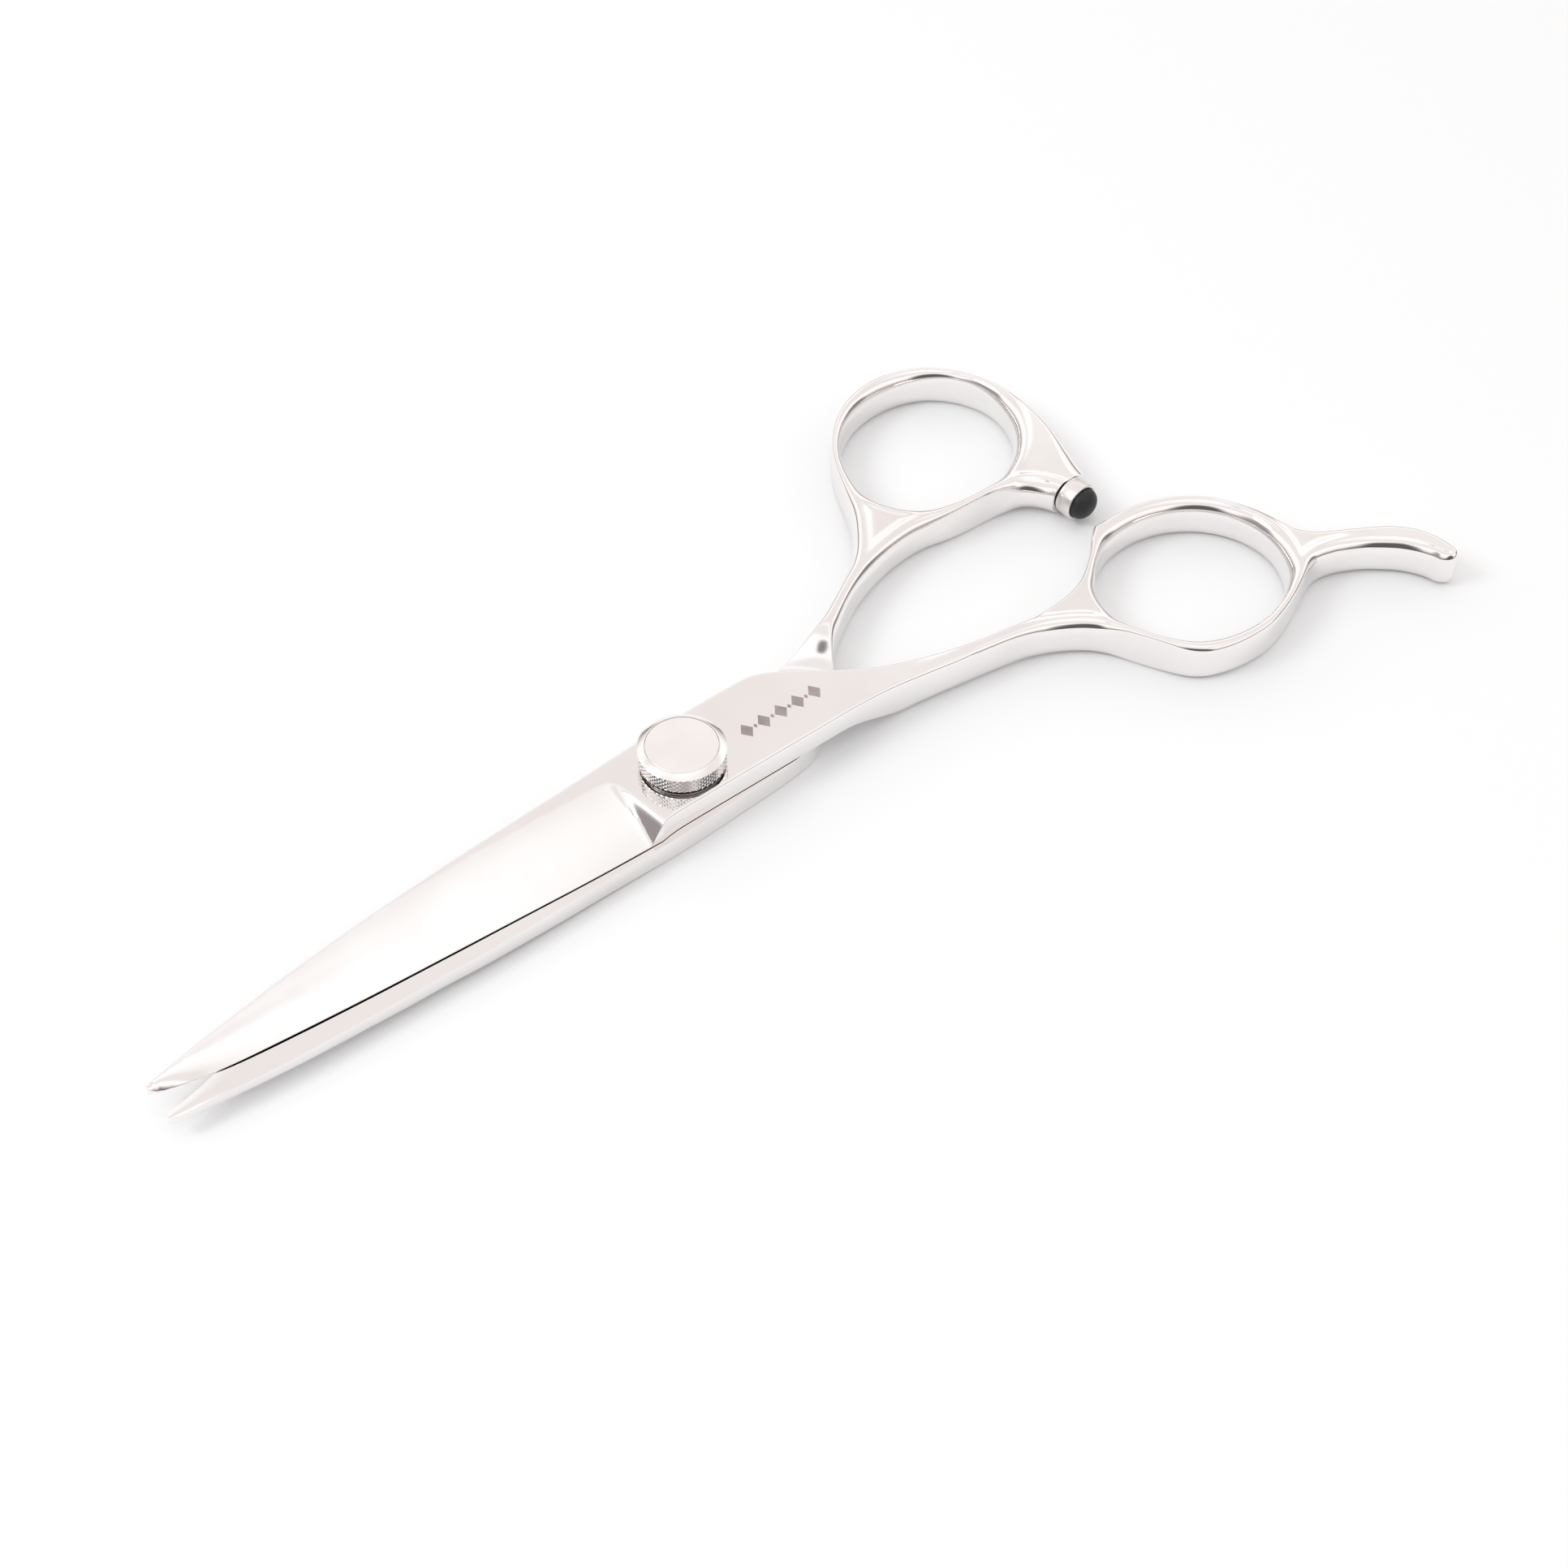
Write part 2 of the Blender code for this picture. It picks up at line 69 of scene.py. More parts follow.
# Bores, as in the CAD: the dial's recess and the key in the finger half, then the pivot's and the bumper
# stud's in the thumb half.
RECESS_RADIUS = 4.75
RECESS_FLOOR_Z = 5.3
KEY_RADIUS = 2.5
KEY_HALF = 1.95
HEAD_RADIUS = 4.6
HEAD_SEAT_Z = 1.25
BUSH_RADIUS = 3.15
GLIDE_RADIUS = 4.5
GLIDE_SEAT_Z = 2.48
STUD_RADIUS = 1.3

# How far the edges are rounded, and the shares of the solid that the rounding may take.
HOLE_LIP = 1.8
HANDLE_EDGE = 1.15
HANDLE_UNDER_EDGE = 0.9
FAR_SHANK_EDGE = 0.5
TANG_EDGE = 1.35
ARM_EDGE = 2.45
PLATE_SPINE_EDGE = 0.42
PLATE_NEAR_EDGE = 0.34
PLATE_UNDER_EDGE = 0.2
SPINE_TAPER = 0.24
SHARP_EDGE = 0.03
HOLE_SHARE = 0.58
SIDE_SHARE = 0.41
RING_SHARE_LOSS = 0.12
BEND_SHARE = 0.6
DROP_PER_REACH = 1.7
DROP_SHARE = 0.44

# The blade's grind and strip, the handle's webs, and the ramp between plate and handle.
TIP_THICKNESS = 1.25
EDGE_THICKNESS = 0.14
HOLLOW_DEPTH = 0.1
FACE_STRAIGHT = 0.36
HEEL_SLOPE = 0.46
HEEL_SOFTNESS = 0.2
HEEL_LEAN = 0.115
STRIP_WIDTH = 2.45
STRIP_TAPER = 0.075
STRIP_LEAST = 0.32
RAMP_REACH = (19.2, 26.4)
RAMP_MIDDLE = 10.7
RAMP_SCOOP = 0.05
WEB_DEPTH = 0.24
RAIL_FLANK = (1.5, 2.6)
LIP_FLANK = (1.25, 2.3)
CAP_SPACING = 0.33
FLAT_RIM = 0.04

# Outlines as (x, v), going round anticlockwise.
FINGER_EDGE = [(-67.3, -0.8), (-64, -1.6), (-60.2, -2.3), (-54.7, -2.9), (-46, -3.65), (-38, -4.2),
               (-26.4, -4.9), (-16.3, -5.5), (HEEL_X, -5.85)]
THUMB_EDGE = [(-67.9, -0.33), (-64.9, -0.7), (-62.7, -1.1), (-60.2, -1.7), (-54.7, -2.7), (-46, -3.65),
              (-38, -4.2), (-26.4, -4.9), (-16.3, -5.5), (HEEL_X, -5.85)]
PLATE_SIDE = [(HEEL_X, -5.85), (-5.5, -5.6), (-3, -5.5), (6, -5.5), (15, -5.5)]
FINGER_UNDER = [(15, -5.5), (22, -5.5), (26.6, -5.65), (31.1, -6.15), (35.5, -6.8), (40.1, -7.45),
                (44.5, -8.35), (48.2, -9.9), (51.4, -12.1), (53.8, -15), (55.8, -18.6), (57.6, -21.9),
                (59.3, -23.6), (61.2, -24.5), (63.4, -25.05), (65.9, -25.3), (68.7, -25.2), (71.6, -24.45),
                (74.3, -23.45), (76.9, -22.3), (79.4, -21.25), (81.8, -20.75), (84.2, -21.2),
                (86.2, -22.1), (87.9, -23.1), (89.4, -24.3), (90.9, -25.7), (92, -27.2), (92.7, -28.6),
                (93, -29.7), (93.6, -30.6), (94.5, -31.05), (95.5, -30.75), (96.1, -29.8), (96.2, -28.4),
                (95.8, -26.2), (94.8, -24.1),
                (93.3, -22.3), (91.7, -21), (89.9, -19.9), (88.1, -18.8), (86.4, -17.7), (84.8, -16.5),
                (83.5, -14.9), (82.8, -13), (82.3, -11), (81.5, -8.9), (80.3, -6.8), (78.9, -4.9),
                (76.8, -2.9), (74.5, -1.4), (72.3, -0.4), (70.2, 0.2), (67.9, 0.5), (65.8, 0.55)]
LANDING = [(65.8, 0.55), (63.5, 0.35)]
FINGER_OVER = [(63.5, 0.35), (61.5, -1.2), (59.5, -3.1), (56.4, -5.1), (53, -6.2), (48, -6.6),
               (43.2, -6.05), (38.7, -5.25), (34.6, -4.2), (30.6, -3.05), (26.8, -1.6), (23.6, 0.25),
               (20.3, 2.5), (17, 4.75), (14.8, 5.85), (12.6, 6.2), (6, 6.2), (-2, 5.85), (-8, 5.5),
               (-14, 5.25), (-20, 5.05), (-27, 4.75), (-34, 4.3), (-40.5, 3.85), (-46.5, 3.25),
               (-51, 2.75), (-55.4, 2.15), (-59, 1.65), (-62.2, 1.15), (-65.3, 0.6)]
FINGER_NOSE = [(-65.3, 0.6), (-67.1, 0.25), (-68, -0.05), (TIP_X, -0.35), (-67.3, -0.8)]
THUMB_UNDER = [(15, -5.5), (19, -5.55), (22.3, -6.05), (25.5, -6.8), (29.7, -8.4), (34.6, -10.9),
               (37, -12.4), (39.4, -14.45), (42.4, -18), (44.5, -21.4), (46.1, -24.35), (47.6, -26.9),
               (49.3, -29.2), (51.2, -31.2), (53.6, -33.15), (56.6, -34.75), (60.1, -35.6), (63, -35.6),
               (65.7, -34.8), (68.2, -33.3), (70.2, -31.4), (71.8, -29.1), (72.9, -26.7), (73.7, -24.3),
               (74.2, -21.8), (74.3, -19.4), (73.95, -16.15), (73, -12.35), (71.8, -8.6), (70.8, -5.4),
               (70.3, -2), (69.9, 1), (67.5, 2.9), (65.1, 1), (64.8, -2), (64.6, -4.5), (63.7, -6.3),
               (62.4, -7.75), (60.7, -8.8), (58.7, -9.45), (56.3, -9.75), (53.6, -10), (51.1, -10.35),
               (48.7, -10.8), (46.1, -11), (43, -10.8), (39.7, -10.2), (36.2, -9.2), (33.6, -8.15),
               (31.3, -6.95), (29.3, -5.75), (27.2, -4.4), (25.1, -2.4), (23.4, -0.4), (21.6, 1.4),
               (19.3, 3.3), (17, 4.8), (14.6, 5.8), (11.8, 6.2), (7, 6.3), (-4.5, 6.2), (-10, 5.9),
               (-15.5, 5.6), (-21, 5.35), (-26.4, 5.05), (-31.6, 4.7), (-36.8, 4.2), (-40.7, 3.9),
               (-45.6, 3.45), (-50.4, 3), (-55, 2.5), (-59.6, 1.85), (-64, 1.2), (-66.5, 0.85)]
THUMB_NOSE = [(-66.5, 0.85), (-67.6, 0.6), (TIP_X, 0.1), (-67.9, -0.33)]


def smoothstep(low, high, x):
    t = np.clip((x - low) / (high - low), 0, 1)
    return t * t * (3 - 2 * t)


def spline(points, spacing):
    """Points along a Catmull-Rom curve, without its last one."""
    p = np.array(points, float)
    p = np.vstack([2 * p[0] - p[1], p, 2 * p[-1] - p[-2]])
    found = []
    for a, b, c, d in zip(p, p[1:], p[2:], p[3:]):
        steps = max(1, math.ceil(np.linalg.norm(c - b) / spacing))
        for t in np.arange(steps) / steps:
            curve = 2 * b + (c - a) * t + (2 * a - 5 * b + 4 * c - d) * t**2 + (3 * b - a - 3 * c + d) * t**3
            found.append(0.5 * curve)
    return found


def closed_outline(sections, spacing=0.35):
    return np.array([p for points in sections for p in spline(points, spacing)])


def hole_outline(hole, count=190):
    """A ring's hole, clockwise."""
    (cx, cv), (a, b), tilt = hole
    t = -2 * np.pi * np.arange(count) / count
    c, s = math.cos(math.radians(tilt)), math.sin(math.radians(tilt))
    x, v = a * np.cos(t), b * np.sin(t)
    return np.stack([cx + c * x - s * v, cv + s * x + c * v], axis=1)


def inward(loop):
    """Mitred directions into the solid, which lies to the left of an outline's travel."""
    before = loop - np.roll(loop, 1, axis=0)
    after = np.roll(loop, -1, axis=0) - loop
    both = 0
    for d in (before, after):
        both = both + np.stack([-d[:, 1], d[:, 0]], axis=1) / np.linalg.norm(d, axis=1)[:, None]
    return 2 * both / np.maximum(0.8, (both**2).sum(axis=1))[:, None]


def segments(loops):
    return np.concatenate([np.stack([loop, np.roll(loop, -1, axis=0)], axis=1) for loop in loops])


def distance_to(points, lines):
    found = []
    a, d = lines[:, 0], lines[:, 1] - lines[:, 0]
    square = np.maximum(1e-12, (d * d).sum(axis=1))
    for part in np.array_split(points, max(1, len(points) // 400)):
        along = np.clip(((part[:, None] - a) * d).sum(axis=2) / square, 0, 1)
        nearest = a + along[..., None] * d
        found.append(np.linalg.norm(part[:, None] - nearest, axis=2).min(axis=1))
    return np.concatenate(found)


def thickness(loop, directions, lines):
    """How far the solid goes on inwards from each outline point."""
    a, d = lines[:, 0], lines[:, 1] - lines[:, 0]
    found = []
    for p, n in zip(loop, directions):
        n = n / np.linalg.norm(n)
        cross = n[0] * d[:, 1] - n[1] * d[:, 0]
        cross = np.where(abs(cross) < 1e-9, 1e-9, cross)
        rel = a - p
        along = (rel[:, 0] * d[:, 1] - rel[:, 1] * d[:, 0]) / cross
        share = (rel[:, 0] * n[1] - rel[:, 1] * n[0]) / cross
        hit = along[(share >= 0) & (share <= 1) & (along > 0.02)]
        found.append(hit.min() if len(hit) else 99)
    return np.array(found)


def bend_radius(loop, reach=3):
    """The radius of each convex bend of an outline, or a large number where it is straight or concave."""
    before = loop - np.roll(loop, reach, axis=0)
    after = np.roll(loop, -reach, axis=0) - loop
    cross = before[:, 0] * after[:, 1] - before[:, 1] * after[:, 0]
    length = 0.5 * (np.linalg.norm(before, axis=1) + np.linalg.norm(after, axis=1))
    turn = cross / np.maximum(1e-9, length**2)
    return np.where(turn > 1e-3, length / np.maximum(turn, 1e-3), 99)


def fair(values, rounds):
    """Evens out sudden changes along a closed loop, never above the given values."""
    low = values.copy()
    for _ in range(rounds):
        around = 0.5 * (np.roll(low, 1) + np.roll(low, -1))
        low = np.minimum(values, 0.5 * low + 0.5 * around)
    return low


def inside(points, polygon):
    x, y = points[:, 0][:, None], points[:, 1][:, None]
    a, b = polygon, np.roll(polygon, -1, axis=0)
    crosses = (a[:, 1] > y) != (b[:, 1] > y)
    rise = np.where(b[:, 1] == a[:, 1], 1e-12, b[:, 1] - a[:, 1])
    slope = (b[:, 0] - a[:, 0]) / rise
    return (crosses & (x < a[:, 0] + (y - a[:, 1]) * slope)).sum(axis=1) % 2 == 1


def cap_triangles(rims, creases, spacing):
    """Triangles over a face with holes: even in the middle, and meeting every rim and crease point."""
    points, edges = [], []
    for line, closed in [(rim, True) for rim in rims] + [(crease, False) for crease in creases]:
        first, count = len(points), len(line)
        points += [tuple(p) for p in line]
        edges += [(first + k, first + (k + 1) % count) for k in range(count if closed else count - 1)]
    lines = np.array([(points[a], points[b]) for a, b in edges])
    low, high = rims[0].min(axis=0), rims[0].max(axis=0)
    rows = np.arange(low[1], high[1], spacing * 0.866)
    grid = np.array([(x, y) for j, y in enumerate(rows)
                     for x in np.arange(low[0] + (j % 2) * spacing / 2, high[0], spacing)])
    keep = inside(grid, rims[0])
    for rim in rims[1:]:
        keep &= ~inside(grid, rim)
    grid = grid[keep]
    grid = grid[distance_to(grid, lines) > 0.45 * spacing]
    points += [tuple(p) for p in grid]
    verts, _, faces, origin, _, _ = delaunay_2d_cdt([Vector(p) for p in points], edges, [], 0, 1e-7)
    flat = np.array([tuple(p) for p in verts])
    faces = np.array(faces)
    middles = flat[faces].mean(axis=1)
    keep = inside(middles, rims[0])
    for rim in rims[1:]:
        keep &= ~inside(middles, rim)
    index = {}
    for k, sources in enumerate(origin):
        for source in sources:
            index.setdefault(source, k)
    return flat, faces[keep], index


class Half:
    """One half's shape: its heights from the meeting plane, and how far its edges are rounded."""

    def __init__(self, sections, hole, handle_w, finger):
        self.finger = finger
        self.handle_w = handle_w
        self.loops = [closed_outline(sections), hole_outline(hole)]
        self.lines = segments(self.loops)
        self.rails = self.find_rails()
        self.edge = self.half_line(sections[0])
        self.spine = self.half_line([p for p in sections[-2] if p[0] < 5] + [sections[-1][1]])

    @staticmethod
    def half_line(points):
        p = np.array(sorted(points))
        return p[:, 0], p[:, 1]

    def edge_v(self, x):
        return np.interp(x, *self.edge)

    def spine_v(self, x):
        return np.interp(x, *self.spine)

    def strip_v(self, x):
        """The line where the flat strip along the spine turns into the ground face."""
        back = np.maximum(0, HEEL_X - x)
        return self.spine_v(x) - np.maximum(STRIP_LEAST, STRIP_WIDTH - STRIP_TAPER * back)

    @staticmethod
    def heel_x(v):
        """The line where the pivot plate breaks off into the ground face."""
        return HEEL_X - 0.15 - HEEL_LEAN * (v - 1.5)

    def find_rails(self):
        """The outline's stretches with a raised rail along them; elsewhere the flat runs out to the edge."""
        outline = segments(self.loops[:1])
        x, v = outline.mean(axis=1).T
        if self.finger:
            travel = outline[:, 1] - outline[:, 0]
            return outline[(x > 24) & ((travel[:, 0] > 0) | (x > 92))]
        return outline[(x > 24) & ((x < 52) | ((x < 66) & (v > -14)))]

    def web(self, x, v):
        """How far the flat of the handle is sunk below its rails and the lip of its ring."""
        points = np.stack([x, v], axis=1)
        rail = smoothstep(*RAIL_FLANK, distance_to(points, self.rails))
        lip = smoothstep(*LIP_FLANK, distance_to(points, segments(self.loops[1:])))
        beyond = smoothstep(58, 60, x) * (1 - smoothstep(78, 80, x)) if self.finger else 0
        where = smoothstep(30, 40, x) * (1 - smoothstep(84, 88, x)) * (1 - beyond)
        return WEB_DEPTH * rail * lip * where

    def outer(self, x, v):
        """The height of the side away from the meeting plane: ground blade, flat plate, thicker handle."""
        back = np.maximum(0, HEEL_X - x)
        top = BLADE_THICKNESS - (BLADE_THICKNESS - TIP_THICKNESS) * back / (HEEL_X - TIP_X)
        down = self.strip_v(x) - v
        heel = self.heel_x(v) - x
        u = np.clip(down / np.maximum(0.3, self.strip_v(x) - self.edge_v(x)), 0, 1)
        face = (top - EDGE_THICKNESS - RIDE_GAP) * (FACE_STRAIGHT * u + (1 - FACE_STRAIGHT) * u * u)
        into = np.maximum(0, heel)
        shoulder = HEEL_SLOPE * (into + into * into)
        soft = 0.5 * (face + shoulder - np.sqrt((face - shoulder) ** 2 + HEEL_SOFTNESS)) + 0.02
        top = top - np.where((down > 0) & (heel > 0), np.maximum(0, soft), 0)
        handle = smoothstep(18, 36, x)
        top = top + (self.handle_w[1] - BLADE_THICKNESS) * handle
        return top - (self.web(x, v) if self.finger else 0)

    def ramp_share(self, x, v):
        """How far along the scooped ramp a point is, from 0 on the plate to 1 on the handle."""
        s = math.radians(RAMP_SLANT)
        across = np.clip(x * math.sin(s) + v * math.cos(s) - RAMP_MIDDLE, -4, 4)
        along = x * math.cos(s) - v * math.sin(s) + RAMP_SCOOP * (across**2 - 4)
        return smoothstep(*RAMP_REACH, along)

    def inner(self, x, v):
        """The height of the side at the meeting plane: hollow blade, flat plate, ramp down to the handle."""
        across = np.maximum(0.5, self.spine_v(x) - self.edge_v(x))
        u = (v - self.edge_v(x)) / across
        hollow = HOLLOW_DEPTH * np.maximum(0, 4 * u * (1 - u)) * smoothstep(HEEL_X, HEEL_X - 4, x)
        s = self.ramp_share(x, v)
        low = (RIDE_GAP + hollow) * (1 - s) + self.handle_w[0] * s
        return low + (0 if self.finger else self.web(x, v))

    def wanted(self, loop, hole, top):
        """How far each edge point is rounded, on the side seen from above or on the underside."""
        x, v = loop[:, 0], loop[:, 1]
        grip = smoothstep(20, 31, x)
        if hole:
            return np.full(len(loop), HOLE_LIP if top else HANDLE_UNDER_EDGE)
        cutting = (x < HEEL_X - 0.2) & (v < 0)
        plate = np.full(len(loop), PLATE_UNDER_EDGE)
        if top:
            plate = np.where(v > 0, PLATE_SPINE_EDGE, PLATE_NEAR_EDGE)
        handle = np.full(len(loop), HANDLE_EDGE if top else HANDLE_UNDER_EDGE)
        if self.finger and top:
            far = (v > -7) & (x < 64)
            handle = np.where(far, FAR_SHANK_EDGE, handle)
            handle = np.where((x > 80) & (x < 97), TANG_EDGE, handle)
        if not self.finger:
            arm = smoothstep(-14, -5, v) * smoothstep(58, 62, x)
            handle = handle + (ARM_EDGE - handle) * arm
        reach = plate * (1 - grip) + handle * grip
        spine = PLATE_SPINE_EDGE - SPINE_TAPER * smoothstep(HEEL_X, -45, x)
        blade = np.where(v > 0, spine, PLATE_UNDER_EDGE)
        reach = np.where(x < HEEL_X, np.minimum(reach, blade), reach)
        return np.where(cutting, SHARP_EDGE, reach)

    def reach(self, loop, hole, top):
        """How far each edge point is rounded, within the room that the solid and its bends leave."""
        directions = inward(loop)
        across = thickness(loop, directions, self.lines)
        to_hole = distance_to(loop, segments(self.loops[1:]))
        near_hole = 1 - smoothstep(1.0, 1.25, to_hole / across)
        share = HOLE_SHARE if hole else SIDE_SHARE - RING_SHARE_LOSS * near_hole
        limit = np.minimum(share * across, BEND_SHARE * bend_radius(loop))
        return fair(np.minimum(self.wanted(loop, hole, top), np.maximum(limit, 0.02)), 12)


def round_columns(half, loop, hole, steps=9):
    """For each outline point, its column of points from the inner rim to the outer rim."""
    directions = inward(loop)
    columns = []
    for side in ("inner", "outer"):
        top = (side == "outer") == half.finger
        height = getattr(half, side)
        reach = half.reach(loop, hole, top)
        if side == "inner":
            share = half.ramp_share(loop[:, 0], loop[:, 1])
            reach = SHARP_EDGE + (reach - SHARP_EDGE) * share
        depth = half.outer(*loop.T) - half.inner(*loop.T)
        drop = np.minimum(DROP_PER_REACH * reach, DROP_SHARE * depth)
        rows = []
        for k in range(steps + 1):
            angle = math.pi / 2 * k / steps
            p = loop + directions * (reach * (1 - math.cos(angle)))[:, None]
            lift = drop * (1 - math.sin(angle)) * (1 if side == "inner" else -1)
            rows.append(np.column_stack([p, height(*p.T) + lift]))
        p = loop + directions * (reach + FLAT_RIM)[:, None]
        rows.append(np.column_stack([p, height(*p.T)]))
        columns = rows[::-1] if side == "inner" else columns + rows
    return columns


def add_wall(rows, verts, faces):
    """Joins a loop's rows of points with quads, and gives the first index of its first and last rows."""
    count = len(rows[0])
    first = len(verts)
    for row in rows:
        verts += [tuple(p) for p in row]
    for r in range(len(rows) - 1):
        for k in range(count):
            a, b = first + r * count + k, first + r * count + (k + 1) % count
            faces.append((a, b, b + count, a + count))
    return first, first + (len(rows) - 1) * count


def add_cap(rims, height, creases, flipped, verts, faces):
    """Closes one side between the walls' rims, each given as its first index and its points."""
    flat, triangles, index = cap_triangles([row[:, :2] for _, row in rims], creases, CAP_SPACING)
    on_rims = [first + k for first, row in rims for k in range(len(row))]
    owners = {index[source]: owner for source, owner in enumerate(on_rims)}
    heights = height(*flat.T)
    ids = {}
    for k in sorted(set(triangles.ravel())):
        if k in owners:
            ids[k] = owners[k]
        else:
            ids[k] = len(verts)
            verts.append((*flat[k], heights[k]))
    for triangle in triangles:
        corners = [ids[k] for k in triangle]
        faces.append(corners[::-1] if flipped else corners)


def build_half(name, half, creases, place):
    """A closed mesh: a rounded wall round each outline, and a cap on either side."""
    verts, faces, inner_rims, outer_rims = [], [], [], []
    for loop, hole in zip(half.loops, (False, True)):
        rows = round_columns(half, loop, hole)
        low, high = add_wall(rows, verts, faces)
        inner_rims.append((low, rows[0]))
        outer_rims.append((high, rows[-1]))
    add_cap(inner_rims, half.inner, [], True, verts, faces)
    add_cap(outer_rims, half.outer, creases, False, verts, faces)
    mesh = bpy.data.meshes.new("half")
    mesh.from_pydata([place @ Vector(p) * MM for p in verts], [], faces)
    bm = bmesh.new()
    bm.from_mesh(mesh)
    bpy.data.meshes.remove(mesh)
    bmesh.ops.dissolve_degenerate(bm, edges=bm.edges, dist=1e-9)
    return new_object(name, bm)


def apply_modifiers(obj):
    graph = bpy.context.evaluated_depsgraph_get()
    mesh = bpy.data.meshes.new_from_object(obj.evaluated_get(graph))
    obj.modifiers.clear()
    obj.data = mesh


def new_object(name, bm):
    """A mesh object from finished bmesh geometry, with its normals facing out."""
    bmesh.ops.recalc_face_normals(bm, faces=bm.faces)
    mesh = bpy.data.meshes.new(name)
    bm.to_mesh(mesh)
    bm.free()
    obj = bpy.data.objects.new(name, mesh)
    bpy.context.scene.collection.objects.link(obj)
    return obj


def circle(bm, radii, z, place=Matrix.Identity(4)):
    """A ring of points at one height, with a radius for each."""
    found = []
    for k, r in enumerate(radii):
        a = 2 * math.pi * k / len(radii)
        found.append(bm.verts.new(place @ Vector((r * math.cos(a), r * math.sin(a), z)) * MM))
    return found


def lathe(name, profile, steps=128, place=Matrix.Identity(4)):
    """A turned piece from (radius, height) points that run up its outer side from the axis to the axis."""
    bm = bmesh.new()
    rings = [circle(bm, [r] * (1 if r < 1e-6 else steps), z, place) for r, z in profile]
    pairs = list(zip(rings, rings[1:]))
    if len(rings[0]) > 1:
        pairs.append((rings[-1], rings[0]))
    for low, high in pairs:
        for k in range(steps):
            a, b = low[k % len(low)], low[(k + 1) % len(low)]
            c, d = high[(k + 1) % len(high)], high[k % len(high)]
            bm.faces.new(list(dict.fromkeys((a, b, c, d))))
    return new_object(name, bm)


def shade(obj, angle=32):
    obj.data.shade_smooth()
    obj.data.set_sharp_from_angle(angle=math.radians(angle))
    return obj


def cut_away(obj, *cutters):
    for cutter in cutters:
        modifier = obj.modifiers.new(cutter.name, "BOOLEAN")
        modifier.operation = "DIFFERENCE"
        modifier.solver = "EXACT"
        modifier.object = cutter
    apply_modifiers(obj)
    for cutter in cutters:
        bpy.data.objects.remove(cutter)


def bore(name, radius, low, high, steps=128, place=Matrix.Identity(4)):
    return lathe(name, [(0, low), (radius, low), (radius, high), (0, high)], steps, place)


def key_bore(radius, half, low, high):
    """A round bore with a flat on either side."""
    corner = math.acos(half / radius)
    arc = [corner + (math.pi - 2 * corner) * k / 24 for k in range(25)]
    side = [(radius * math.cos(a), radius * math.sin(a)) for a in arc]
    section = side + [(-x, -y) for x, y in side]
    bm = bmesh.new()
    floor = bm.faces.new([bm.verts.new(Vector((x, y, low)) * MM) for x, y in section])
    grown = bmesh.ops.extrude_face_region(bm, geom=[floor])["geom"]
    upper = [g for g in grown if isinstance(g, bmesh.types.BMVert)]
    bmesh.ops.translate(bm, vec=(0, 0, (high - low) * MM), verts=upper)
    return new_object("key_bore", bm)


FINGER_PLACE = Matrix.Translation((0, 0, MEET_Z))
THUMB_PLACE = (Matrix.Rotation(math.radians(REST_OPENING), 4, "Z") @ Matrix.Translation((0, 0, MEET_Z))
               @ Matrix.Rotation(math.pi, 4, "X"))


def grind_lines(half):
    """The edges of the blade's ground face: along the strip by the spine, and down the heel."""
    top = half.strip_v(-8.6)
    heel = [(half.heel_x(v) + 0.01, v) for v in np.linspace(-5.2, top + 0.25, 16)]
    across = np.linspace(-5.2, top - 0.2, 24)
    facet = [[(half.heel_x(v) - down, v) for v in across] for down in np.arange(0.28, 2.6, 0.28)]
    strip = [(x, half.strip_v(x) - 0.01) for x in np.arange(-9.6, -34, -0.5)]
    return [heel, *facet, strip]


def make_finger_half():
    sections = [FINGER_EDGE, PLATE_SIDE, FINGER_UNDER, LANDING, FINGER_OVER, FINGER_NOSE]
    handle_w = (FINGER_UNDER_Z - MEET_Z, HANDLE_TOP_Z - MEET_Z)
    half = Half(sections, FINGER_HOLE, handle_w, finger=True)
    obj = build_half("finger_half_polished", half, grind_lines(half), FINGER_PLACE)
    cut_away(obj, bore("recess", RECESS_RADIUS, RECESS_FLOOR_Z, 7), key_bore(KEY_RADIUS, KEY_HALF, 1, 9))
    return shade(obj)


def bumper_place():
    seat = THUMB_PLACE @ Matrix.Translation((SEAT_X, SEAT_V, MEET_Z - 2.8))
    return seat @ Matrix.Rotation(math.radians(-90), 4, "X")


def trim_arm(obj):
    """Cuts the stop arm off square at its seat."""
    bm = bmesh.new()
    bm.from_mesh(obj.data)
    point = THUMB_PLACE @ Vector((SEAT_X, SEAT_V, 0)) * MM
    normal = THUMB_PLACE.to_3x3() @ Vector((0, 1, 0))
    back = THUMB_PLACE.inverted()
    own = {v: back @ (v.co / MM) for v in bm.verts}
    arm = [f for f in bm.faces if all(62 < own[v].x < 73 and own[v].y > -9 for v in f.verts)]
    geometry = set(arm) | {e for f in arm for e in f.edges} | {v for f in arm for v in f.verts}
    found = bmesh.ops.bisect_plane(bm, geom=list(geometry), dist=1e-9, plane_co=point, plane_no=normal,
                                   clear_outer=True)
    rim = [g for g in found["geom_cut"] if isinstance(g, bmesh.types.BMEdge) and len(g.link_faces) == 1]
    bmesh.ops.contextual_create(bm, geom=rim)
    bmesh.ops.recalc_face_normals(bm, faces=bm.faces)
    bm.to_mesh(obj.data)
    bm.free()


